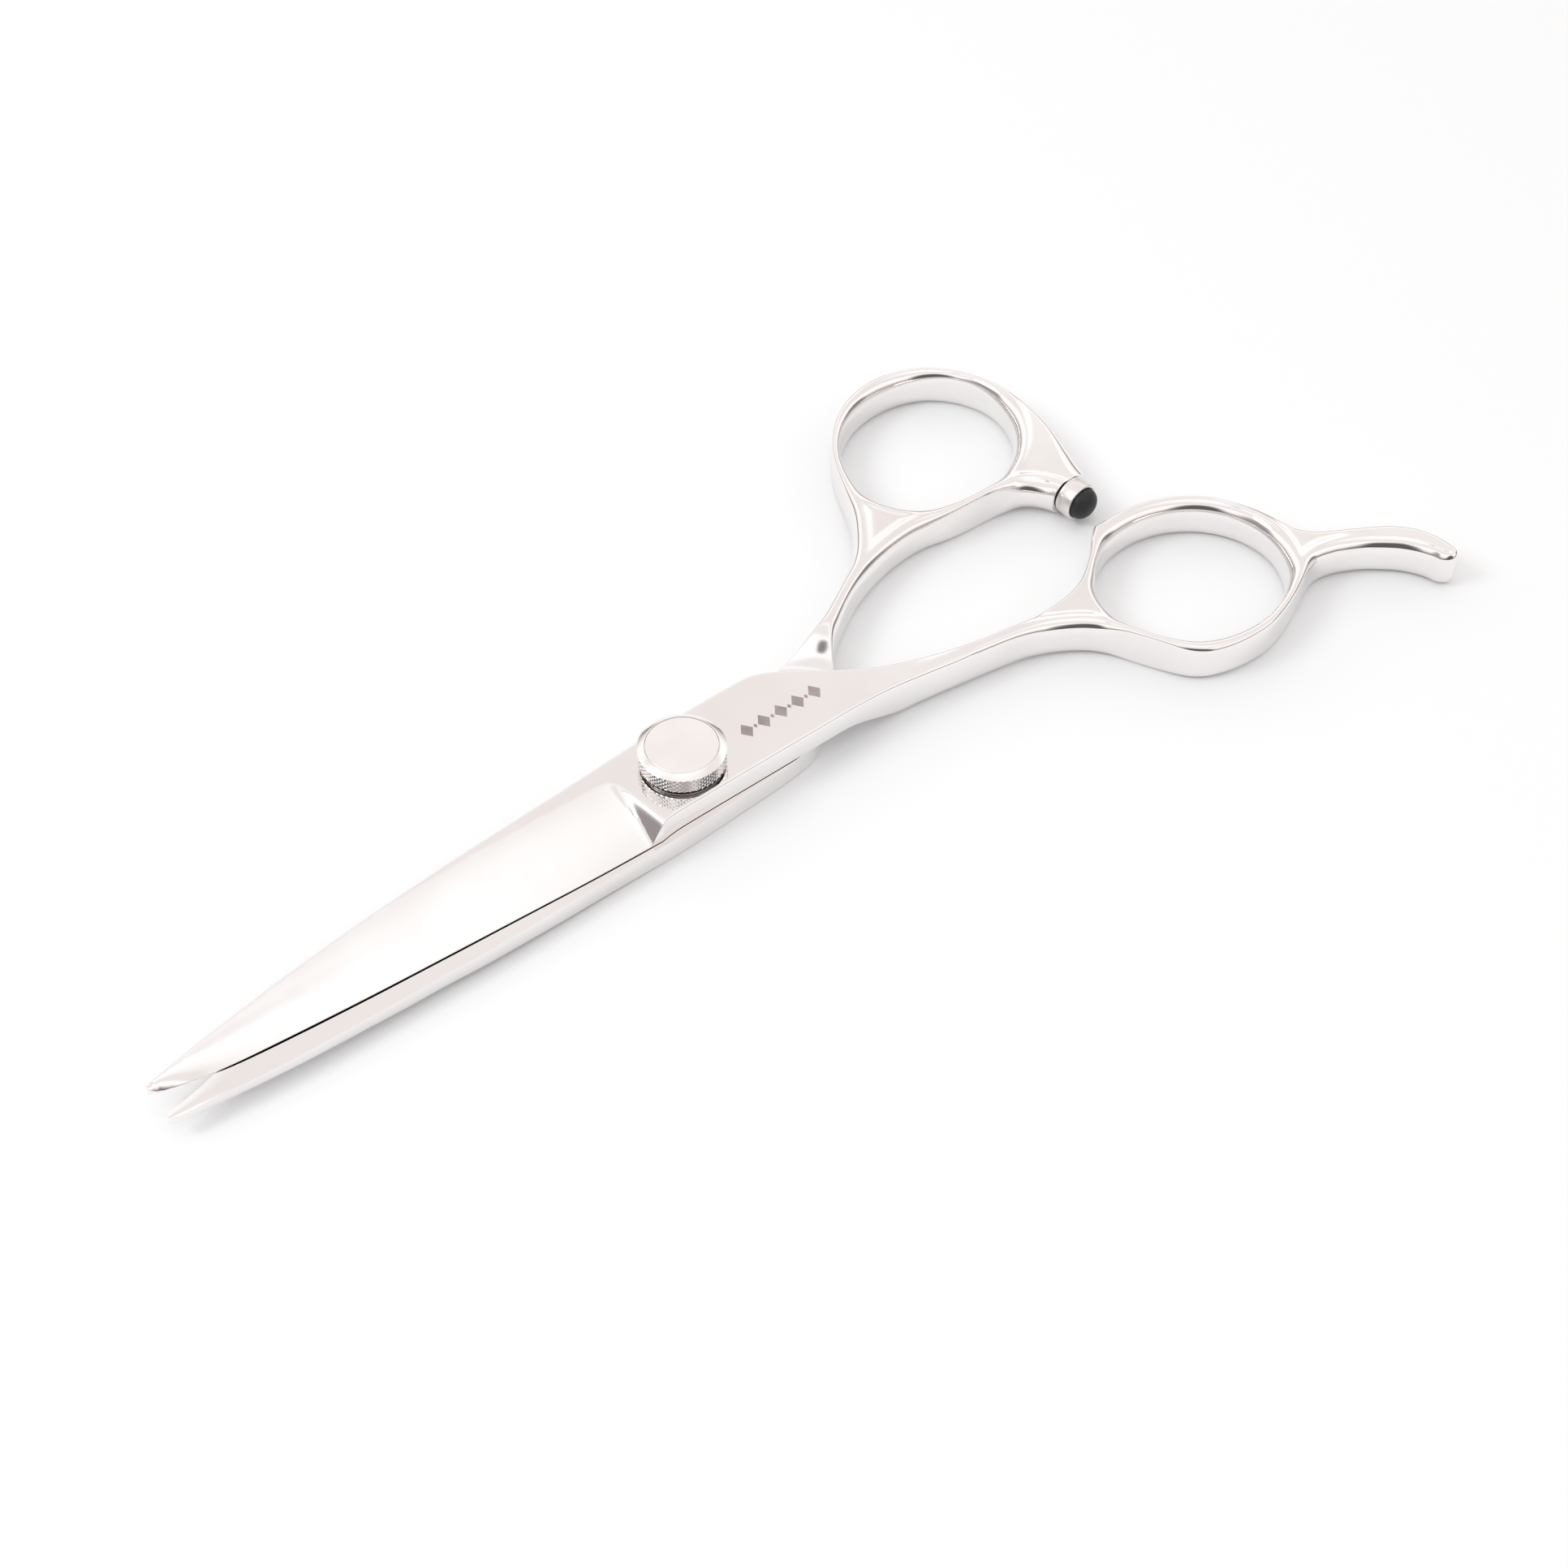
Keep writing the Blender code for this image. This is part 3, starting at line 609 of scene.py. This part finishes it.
def make_thumb_half():
    sections = [THUMB_EDGE, PLATE_SIDE, THUMB_UNDER, THUMB_NOSE]
    handle_w = (MEET_Z - HANDLE_TOP_Z, MEET_Z - THUMB_UNDER_Z)
    half = Half(sections, THUMB_HOLE, handle_w, finger=False)
    obj = build_half("thumb_half_polished", half, grind_lines(half), THUMB_PLACE)
    trim_arm(obj)
    steps = [(0, -1), (HEAD_RADIUS, -1), (HEAD_RADIUS, HEAD_SEAT_Z), (BUSH_RADIUS, HEAD_SEAT_Z),
             (BUSH_RADIUS, GLIDE_SEAT_Z), (GLIDE_RADIUS, GLIDE_SEAT_Z), (GLIDE_RADIUS, 4), (0, 4)]
    stud = bore("stud_bore", STUD_RADIUS, -4.2, 1, 48, bumper_place())
    cut_away(obj, lathe("pivot_bore", steps), stud)
    return shade(obj)


DIAL_RADIUS = 5.1
DIAL_BOTTOM_Z = 6.56
DIAL_TOP_Z = 8.95
CHAMFER_WIDTH = 0.82
CHAMFER_DROP = 0.47
KNURL_COUNT = 48
KNURL_DEPTH = 0.2
KNURL_ROWS = 3
KNURL_STEPS = 6
GROOVE_HALF = 0.44
THREAD_RADIUS = 2.05
WELL_RADIUS = 2.9
WELL_FLOOR_Z = 7.7
CAP_SEAT_Z = 8.53
CAP_EDGE = 4.2


def knurl_depth(u, v):
    """How deep the crossed diagonal grooves are, at u and v counted in diamonds."""
    p, q = (u + v) % 1, (u - v) % 1
    near = min(p, 1 - p, q, 1 - q)
    return KNURL_DEPTH * (1 - min(1, near / GROOVE_HALF))


def knurl_rings(bm, low, high):
    """The knurl's rings of points from low to high, and how deep each point is."""
    around, rows = KNURL_COUNT * KNURL_STEPS, KNURL_ROWS * KNURL_STEPS
    rings, depths = [], []
    for j in range(rows + 1):
        depth = [knurl_depth(k / KNURL_STEPS, j / KNURL_STEPS) for k in range(around)]
        rings.append(circle(bm, [DIAL_RADIUS - d for d in depth], low + (high - low) * j / rows))
        depths.append(depth)
    return rings, depths


def join_rings(bm, low, high, below, above):
    """Quads between two rings; on the knurl, triangles that follow its grooves."""
    for k in range(len(low)):
        n = (k + 1) % len(low)
        a, b, c, d = low[k], low[n], high[n], high[k]
        if below and above and abs(below[n] - above[k]) < abs(below[k] - above[n]):
            bm.faces.new((a, b, d))
            bm.faces.new((b, c, d))
        elif below and above:
            bm.faces.new((a, b, c))
            bm.faces.new((a, c, d))
        else:
            bm.faces.new((a, b, c, d))


def make_dial():
    """The tension dial: a diamond knurl under a polished chamfer, with a seat for its closed top."""
    bm = bmesh.new()
    around = KNURL_COUNT * KNURL_STEPS
    inner = DIAL_RADIUS - CHAMFER_WIDTH
    low, high = DIAL_BOTTOM_Z + 0.06, DIAL_TOP_Z - CHAMFER_DROP - 0.06
    foot = [(THREAD_RADIUS, DIAL_BOTTOM_Z), (DIAL_RADIUS - 0.16, DIAL_BOTTOM_Z)]
    head = [(DIAL_RADIUS - 0.04, high + 0.05), (inner + 0.08, DIAL_TOP_Z - 0.03), (inner, DIAL_TOP_Z),
            (CAP_EDGE, DIAL_TOP_Z), (CAP_EDGE, CAP_SEAT_Z), (WELL_RADIUS, CAP_SEAT_Z),
            (WELL_RADIUS, WELL_FLOOR_Z), (THREAD_RADIUS, WELL_FLOOR_Z)]
    rings = [circle(bm, [r] * around, z) for r, z in foot]
    knurl, found = knurl_rings(bm, low, high)
    rings += knurl
    rings += [circle(bm, [r] * around, z) for r, z in head]
    depths = [None] * len(foot) + found + [None] * len(head)
    for j in range(len(rings)):
        n = (j + 1) % len(rings)
        join_rings(bm, rings[j], rings[n], depths[j], depths[n])
    return shade(new_object("dial_knurled", bm), 22)


def rounded(corner, radius, start, stop, count=5):
    """Points round a turned piece's corner, from one angle to another in degrees."""
    angles = np.radians(np.linspace(start, stop, count))
    return [(corner[0] + radius * math.cos(a), corner[1] + radius * math.sin(a)) for a in angles]


def make_cap():
    """The dial's closed top, a satin disc with a softly broken edge."""
    r, top, under = CAP_EDGE - 0.03, DIAL_TOP_Z, CAP_SEAT_Z + 0.05
    rim = rounded((r - 0.06, top - 0.06), 0.06, 0, 90)
    return shade(lathe("dial_top", [(0, under), (r, under), *rim, (0, top)]))


def make_ferrule():
    """The bumper's metal cap: a short tube with a rolled lip, on its stud."""
    r, top = 2.5, 2.4
    profile = [(0, -4), (1.25, -4), (1.25, 0.12), *rounded((r - 0.2, 0.27), 0.15, -90, 0),
               (r - 0.06, 0.5), (r, 0.6), *rounded((r - 0.16, top - 0.16), 0.16, 0, 90),
               *rounded((2.2, top - 0.08), 0.08, 90, 180), (2.12, top - 0.5), (1.2, top - 0.5),
               (1.2, top - 1.5), (0, top - 1.5)]
    return shade(lathe("bumper_ferrule", profile, 96, bumper_place()))


def make_dome():
    """The rubber dome, standing out of the ferrule's lip."""
    r, foot, end = 2.08, 1.95, 4.0
    angles = np.linspace(0, math.pi / 2, 20)[:-1]
    arc = [(r * math.cos(a) ** 0.8, 2.5 + (end - 2.5) * math.sin(a)) for a in angles]
    profile = [(0, 1), (1.15, 1), (1.15, foot), (r - 0.1, foot), (r, foot + 0.1), *arc, (0, end)]
    return shade(lathe("bumper_rubber", profile, 96, bumper_place()), 50)


LOZENGE_FIRST_X = 8.6
LOZENGE_V = -0.7
LOZENGE_PITCH = 2.45
LOZENGE_COUNT = 5
ETCH_DEPTH = 0.012


def add_lozenge(bm, x, half_long, half_wide):
    centre = Vector((x, LOZENGE_V, 2 * MEET_Z + ETCH_DEPTH / 2))
    corners = [(half_long, 0), (0, half_wide), (-half_long, 0), (0, -half_wide)]
    low = [bm.verts.new((centre + Vector((x, v, -ETCH_DEPTH))) * MM) for x, v in corners]
    high = [bm.verts.new((centre + Vector((x, v, ETCH_DEPTH / 2))) * MM) for x, v in corners]
    bm.faces.new(low[::-1])
    bm.faces.new(high)
    for j in range(4):
        n = (j + 1) % 4
        bm.faces.new((low[j], low[n], high[n], high[j]))


def make_motif():
    """A plain etched row of lozenges on the pivot plate, with a small one between each two."""
    bm = bmesh.new()
    for k in range(LOZENGE_COUNT):
        x = LOZENGE_FIRST_X + LOZENGE_PITCH * k
        add_lozenge(bm, x, 0.85, 1.15)
        if k < LOZENGE_COUNT - 1:
            add_lozenge(bm, x + LOZENGE_PITCH / 2, 0.255, 0.345)
    return new_object("etched_lozenges", bm)


class Nodes:
    """A new material, with short ways to add and join its nodes."""

    def __init__(self, name, color, roughness, metallic):
        self.material = bpy.data.materials.new(name)
        self.material.use_nodes = True
        self.tree = self.material.node_tree
        self.shader = self.tree.nodes["Principled BSDF"]
        self.shader.inputs["Base Color"].default_value = (*color, 1)
        self.shader.inputs["Roughness"].default_value = roughness
        self.shader.inputs["Metallic"].default_value = metallic
        self.place = self.add("ShaderNodeTexCoord").outputs["Object"]
        self.bumps = None

    def add(self, kind, **values):
        node = self.tree.nodes.new(kind)
        for name, value in values.items():
            setattr(node, name, value)
        return node

    def join(self, source, target):
        self.tree.links.new(source, target)

    def stretched(self, scale, turn=0.0):
        mapping = self.add("ShaderNodeMapping")
        mapping.inputs["Scale"].default_value = scale
        mapping.inputs["Rotation"].default_value = (0, 0, turn)
        self.join(self.place, mapping.inputs["Vector"])
        return mapping.outputs["Vector"]

    def noise(self, vector, scale, detail=3.0, rough=0.5):
        noise = self.add("ShaderNodeTexNoise")
        noise.inputs["Scale"].default_value = scale
        noise.inputs["Detail"].default_value = detail
        noise.inputs["Roughness"].default_value = rough
        self.join(vector, noise.inputs["Vector"])
        return noise.outputs["Fac"]

    def ramp(self, value, stops):
        ramp = self.add("ShaderNodeValToRGB")
        points = ramp.color_ramp.elements
        while len(points) < len(stops):
            points.new(0.5)
        for point, (place, color) in zip(points, stops):
            point.position = place
            point.color = (*color, 1) if isinstance(color, tuple) else (color, color, color, 1)
        self.join(value, ramp.inputs["Fac"])
        return ramp.outputs["Color"]

    def bump(self, height, distance, strength=1.0):
        bump = self.add("ShaderNodeBump")
        bump.inputs["Strength"].default_value = strength
        bump.inputs["Distance"].default_value = distance
        self.join(height, bump.inputs["Height"])
        if self.bumps:
            self.join(self.bumps, bump.inputs["Normal"])
        self.bumps = bump.outputs["Normal"]
        self.join(self.bumps, self.shader.inputs["Normal"])


def polished_steel(name, turn):
    """Mirror steel: a faint swell, hair scratches along the buffing wheel's strokes, and a little haze."""
    made = Nodes(name, (0.93, 0.91, 0.9), 0.07, 1.0)
    swell = made.noise(made.place, 160, 1.0)
    made.bump(swell, 0.00012, 0.35)
    strokes = made.noise(made.stretched((70, 5200, 5200), turn), 1.0, 3.0, 0.65)
    made.bump(strokes, 0.0000012, 0.5)
    haze = made.noise(made.place, 420, 4.0, 0.6)
    made.join(made.ramp(haze, [(0.3, 0.02), (0.72, 0.06)]), made.shader.inputs["Roughness"])
    stain = made.noise(made.place, 90, 3.0)
    made.join(made.ramp(stain, [(0.3, (0.895, 0.87, 0.86)), (0.7, (0.93, 0.915, 0.91))]),
              made.shader.inputs["Base Color"])
    return made.material


def turned_steel(name, color, roughness, fine=1.0):
    """Satin steel with fine turning marks about the pivot axis."""
    made = Nodes(name, color, roughness, 1.0)
    rings = made.add("ShaderNodeTexWave", wave_type="RINGS", rings_direction="Z", wave_profile="SAW")
    rings.inputs["Scale"].default_value = 2600 * fine
    rings.inputs["Distortion"].default_value = 1.5
    rings.inputs["Detail"].default_value = 2
    made.join(made.place, rings.inputs["Vector"])
    made.bump(rings.outputs["Fac"], 0.000002, 0.5)
    grain = made.noise(made.place, 2600, 4.0, 0.6)
    made.bump(grain, 0.000001, 0.3)
    made.join(made.ramp(grain, [(0.3, roughness - 0.03), (0.7, roughness + 0.03)]),
              made.shader.inputs["Roughness"])
    stain = made.noise(made.place, 300, 3.0)
    pale = tuple(min(1, c * 1.015) for c in color)
    dull = tuple(c * 0.98 for c in color)
    made.join(made.ramp(stain, [(0.3, dull), (0.7, pale)]), made.shader.inputs["Base Color"])
    return made.material


def grained(name, color, roughness, metallic, scale, depth):
    """A plain material with an even grain, slightly uneven in colour and gloss."""
    made = Nodes(name, color, roughness, metallic)
    grain = made.noise(made.place, scale, 5.0, 0.6)
    made.bump(grain, depth, 0.6)
    made.join(made.ramp(grain, [(0.3, roughness - 0.08), (0.7, roughness + 0.1)]),
              made.shader.inputs["Roughness"])
    stain = made.noise(made.place, scale / 6, 3.0)
    dull = tuple(c * 0.8 for c in color)
    pale = tuple(min(1, c * 1.15) for c in color)
    made.join(made.ramp(stain, [(0.3, dull), (0.7, pale)]), made.shader.inputs["Base Color"])
    return made.material


# The tent's brightness by the sine of its elevation.
TENT_BANDS = [(0.0, (0.26, 0.22, 0.2)), (0.08, (0.34, 0.29, 0.27)), (0.18, (0.74, 0.68, 0.66)),
              (0.34, (1.12, 1.09, 1.08)), (0.58, (1.14, 1.12, 1.11)), (0.68, (0.93, 0.885, 0.865)),
              (0.83, (0.93, 0.885, 0.865)), (0.91, (1.04, 1.02, 1.01)), (1.0, (1.17, 1.17, 1.17))]
# Where the tent is open: direction, the dark middle's and the faded edge's half-angles, colour.
TENT_OPENINGS = [((-0.55, -0.8, 0.12), 16, 34, (0.12, 0.11, 0.11)),
                 ((-0.95, 0.25, 0.15), 10, 32, (0.36, 0.32, 0.33)),
                 ((0.0, 0.2, 0.98), 5, 13, (0.94, 0.91, 0.9)),
                 ((-0.225, 0.03, 0.974), 1.2, 4, (0.26, 0.25, 0.25)),
                 ((0.9, -0.42, 0.1), 8, 20, (0.25, 0.22, 0.22))]
BACKDROP = (0.9, 0.895, 0.89)
SOFTBOX_PLACE = (-0.5, 0.25, 0.6)


def mix_colors(tree, factor, under, over):
    mix = tree.nodes.new("ShaderNodeMix")
    mix.data_type = "RGBA"
    tree.links.new(factor, mix.inputs["Factor"])
    tree.links.new(under, mix.inputs[6])
    mix.inputs[7].default_value = (*over, 1)
    return mix.outputs[2]


def tent_bands(tree, place):
    """The tent's colour by height."""
    split = tree.nodes.new("ShaderNodeSeparateXYZ")
    tree.links.new(place, split.inputs["Vector"])
    ramp = tree.nodes.new("ShaderNodeValToRGB")
    points = ramp.color_ramp.elements
    while len(points) < len(TENT_BANDS):
        points.new(0.5)
    for point, (position, color) in zip(points, TENT_BANDS):
        point.position = position
        point.color = (*color, 1)
    tree.links.new(split.outputs["Z"], ramp.inputs["Fac"])
    return ramp.outputs["Color"]


def opening_mask(tree, place, direction, core, fade):
    """1 within core degrees of a direction, fading to 0 at fade degrees."""
    dot = tree.nodes.new("ShaderNodeVectorMath")
    dot.operation = "DOT_PRODUCT"
    tree.links.new(place, dot.inputs[0])
    dot.inputs[1].default_value = Vector(direction).normalized()
    mask = tree.nodes.new("ShaderNodeMapRange")
    mask.interpolation_type = "SMOOTHSTEP"
    mask.inputs["From Min"].default_value = math.cos(math.radians(fade))
    mask.inputs["From Max"].default_value = math.cos(math.radians(core))
    tree.links.new(dot.outputs["Value"], mask.inputs["Value"])
    return mask.outputs["Result"]


def make_world():
    """A white tent, a little rosy at the height that the flats reflect, with openings to a darker room.

    Where the camera looks past the floor, it sees a plain pale backdrop."""
    world = bpy.data.worlds.new("tent")
    bpy.context.scene.world = world
    world.use_nodes = True
    tree = world.node_tree
    place = tree.nodes.new("ShaderNodeTexCoord").outputs["Generated"]
    color = tent_bands(tree, place)
    for direction, core, fade, opening in TENT_OPENINGS:
        color = mix_colors(tree, opening_mask(tree, place, direction, core, fade), color, opening)
    ray = tree.nodes.new("ShaderNodeLightPath").outputs["Is Camera Ray"]
    color = mix_colors(tree, ray, color, BACKDROP)
    tree.links.new(color, tree.nodes["Background"].inputs["Color"])


def make_floor():
    bpy.ops.mesh.primitive_plane_add(size=14, location=(0, 0, -0.00002))
    floor = bpy.context.object
    floor.name = "floor"
    made = Nodes("white_paper", (0.93, 0.95, 0.96), 0.75, 0.0)
    grain = made.noise(made.place, 900, 4.0)
    made.bump(grain, 0.00002, 0.2)
    floor.data.materials.append(made.material)


def make_light():
    """A large soft light, high on the far left."""
    light = bpy.data.lights.new("softbox", "AREA")
    light.shape = "DISK"
    light.size = 0.35
    light.energy = 1.5
    obj = bpy.data.objects.new("softbox", light)
    obj.location = SOFTBOX_PLACE
    obj.rotation_euler = (-Vector(SOFTBOX_PLACE)).to_track_quat("-Z", "Y").to_euler()
    bpy.context.scene.collection.objects.link(obj)


CAMERA_PLACE = (-0.10351, -0.14905, 0.21062)
CAMERA_TARGET = (0.01015, -0.00552, 0)
CAMERA_LENS = 55.9


def make_camera():
    camera = bpy.data.cameras.new("camera")
    camera.lens = CAMERA_LENS
    camera.sensor_width = 36
    camera.clip_start = 0.01
    obj = bpy.data.objects.new("camera", camera)
    obj.location = CAMERA_PLACE
    away = Vector(CAMERA_TARGET) - Vector(CAMERA_PLACE)
    obj.rotation_euler = away.to_track_quat("-Z", "Y").to_euler()
    bpy.context.scene.collection.objects.link(obj)
    bpy.context.scene.camera = obj


def dress(obj, material, body, replaced):
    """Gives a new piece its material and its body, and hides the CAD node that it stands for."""
    obj.data.materials.clear()
    obj.data.materials.append(material)
    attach(obj, body)
    if replaced:
        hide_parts(replaced)


def dress_cad(material, *nodes):
    for node in nodes:
        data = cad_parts[node].data
        data.materials.clear()
        data.materials.append(material)


def make_shears():
    steel = polished_steel("finger_steel", 0.0)
    dress(make_finger_half(), steel, "finger_side", "finger_half")
    steel = polished_steel("thumb_steel", math.radians(-REST_OPENING))
    dress(make_thumb_half(), steel, "thumb_side", "thumb_half")
    steel = turned_steel("dial_steel", (0.92, 0.9, 0.89), 0.1, 0.7)
    dress(make_dial(), steel, "dial", "tension_dial")
    satin = turned_steel("cap_satin", (0.92, 0.89, 0.875), 0.38)
    dress(make_cap(), satin, "dial", "dial_cap")
    satin = turned_steel("ferrule_satin", (0.85, 0.82, 0.81), 0.34)
    dress(make_ferrule(), satin, "thumb_side", "bumper_collar")
    rubber = grained("black_rubber", (0.012, 0.012, 0.013), 0.5, 0.0, 2400, 0.00002)
    dress(make_dome(), rubber, "thumb_side", "bumper_dome")
    etched = grained("etched_steel", (0.42, 0.37, 0.365), 0.42, 1.0, 3000, 0.000004)
    dress(make_motif(), etched, "finger_side", None)


def dress_inner_parts():
    """New materials for the CAD nodes that keep their shape."""
    dress_cad(turned_steel("screw_satin", (0.8, 0.78, 0.77), 0.25), "pivot_screw")
    spring = grained("spring_steel", (0.32, 0.3, 0.3), 0.35, 1.0, 1800, 0.000004)
    dress_cad(spring, "disc_spring_lower", "disc_spring_upper", "click_washer", "stop_clip",
              "detent_spring_1", "detent_spring_2", "detent_spring_3")
    ball = turned_steel("ball_steel", (0.85, 0.84, 0.84), 0.12)
    dress_cad(ball, "detent_ball_1", "detent_ball_2", "detent_ball_3")
    bronze = grained("bearing_bronze", (0.55, 0.34, 0.16), 0.35, 1.0, 1500, 0.000006)
    dress_cad(bronze, "pivot_bush", "head_washer")
    dress_cad(grained("glide_polymer", (0.8, 0.79, 0.75), 0.45, 0.0, 1200, 0.00001), "glide_washer")


make_shears()
dress_inner_parts()
make_world()
make_floor()
make_light()
make_camera()
bpy.context.scene.view_settings.view_transform = "Standard"
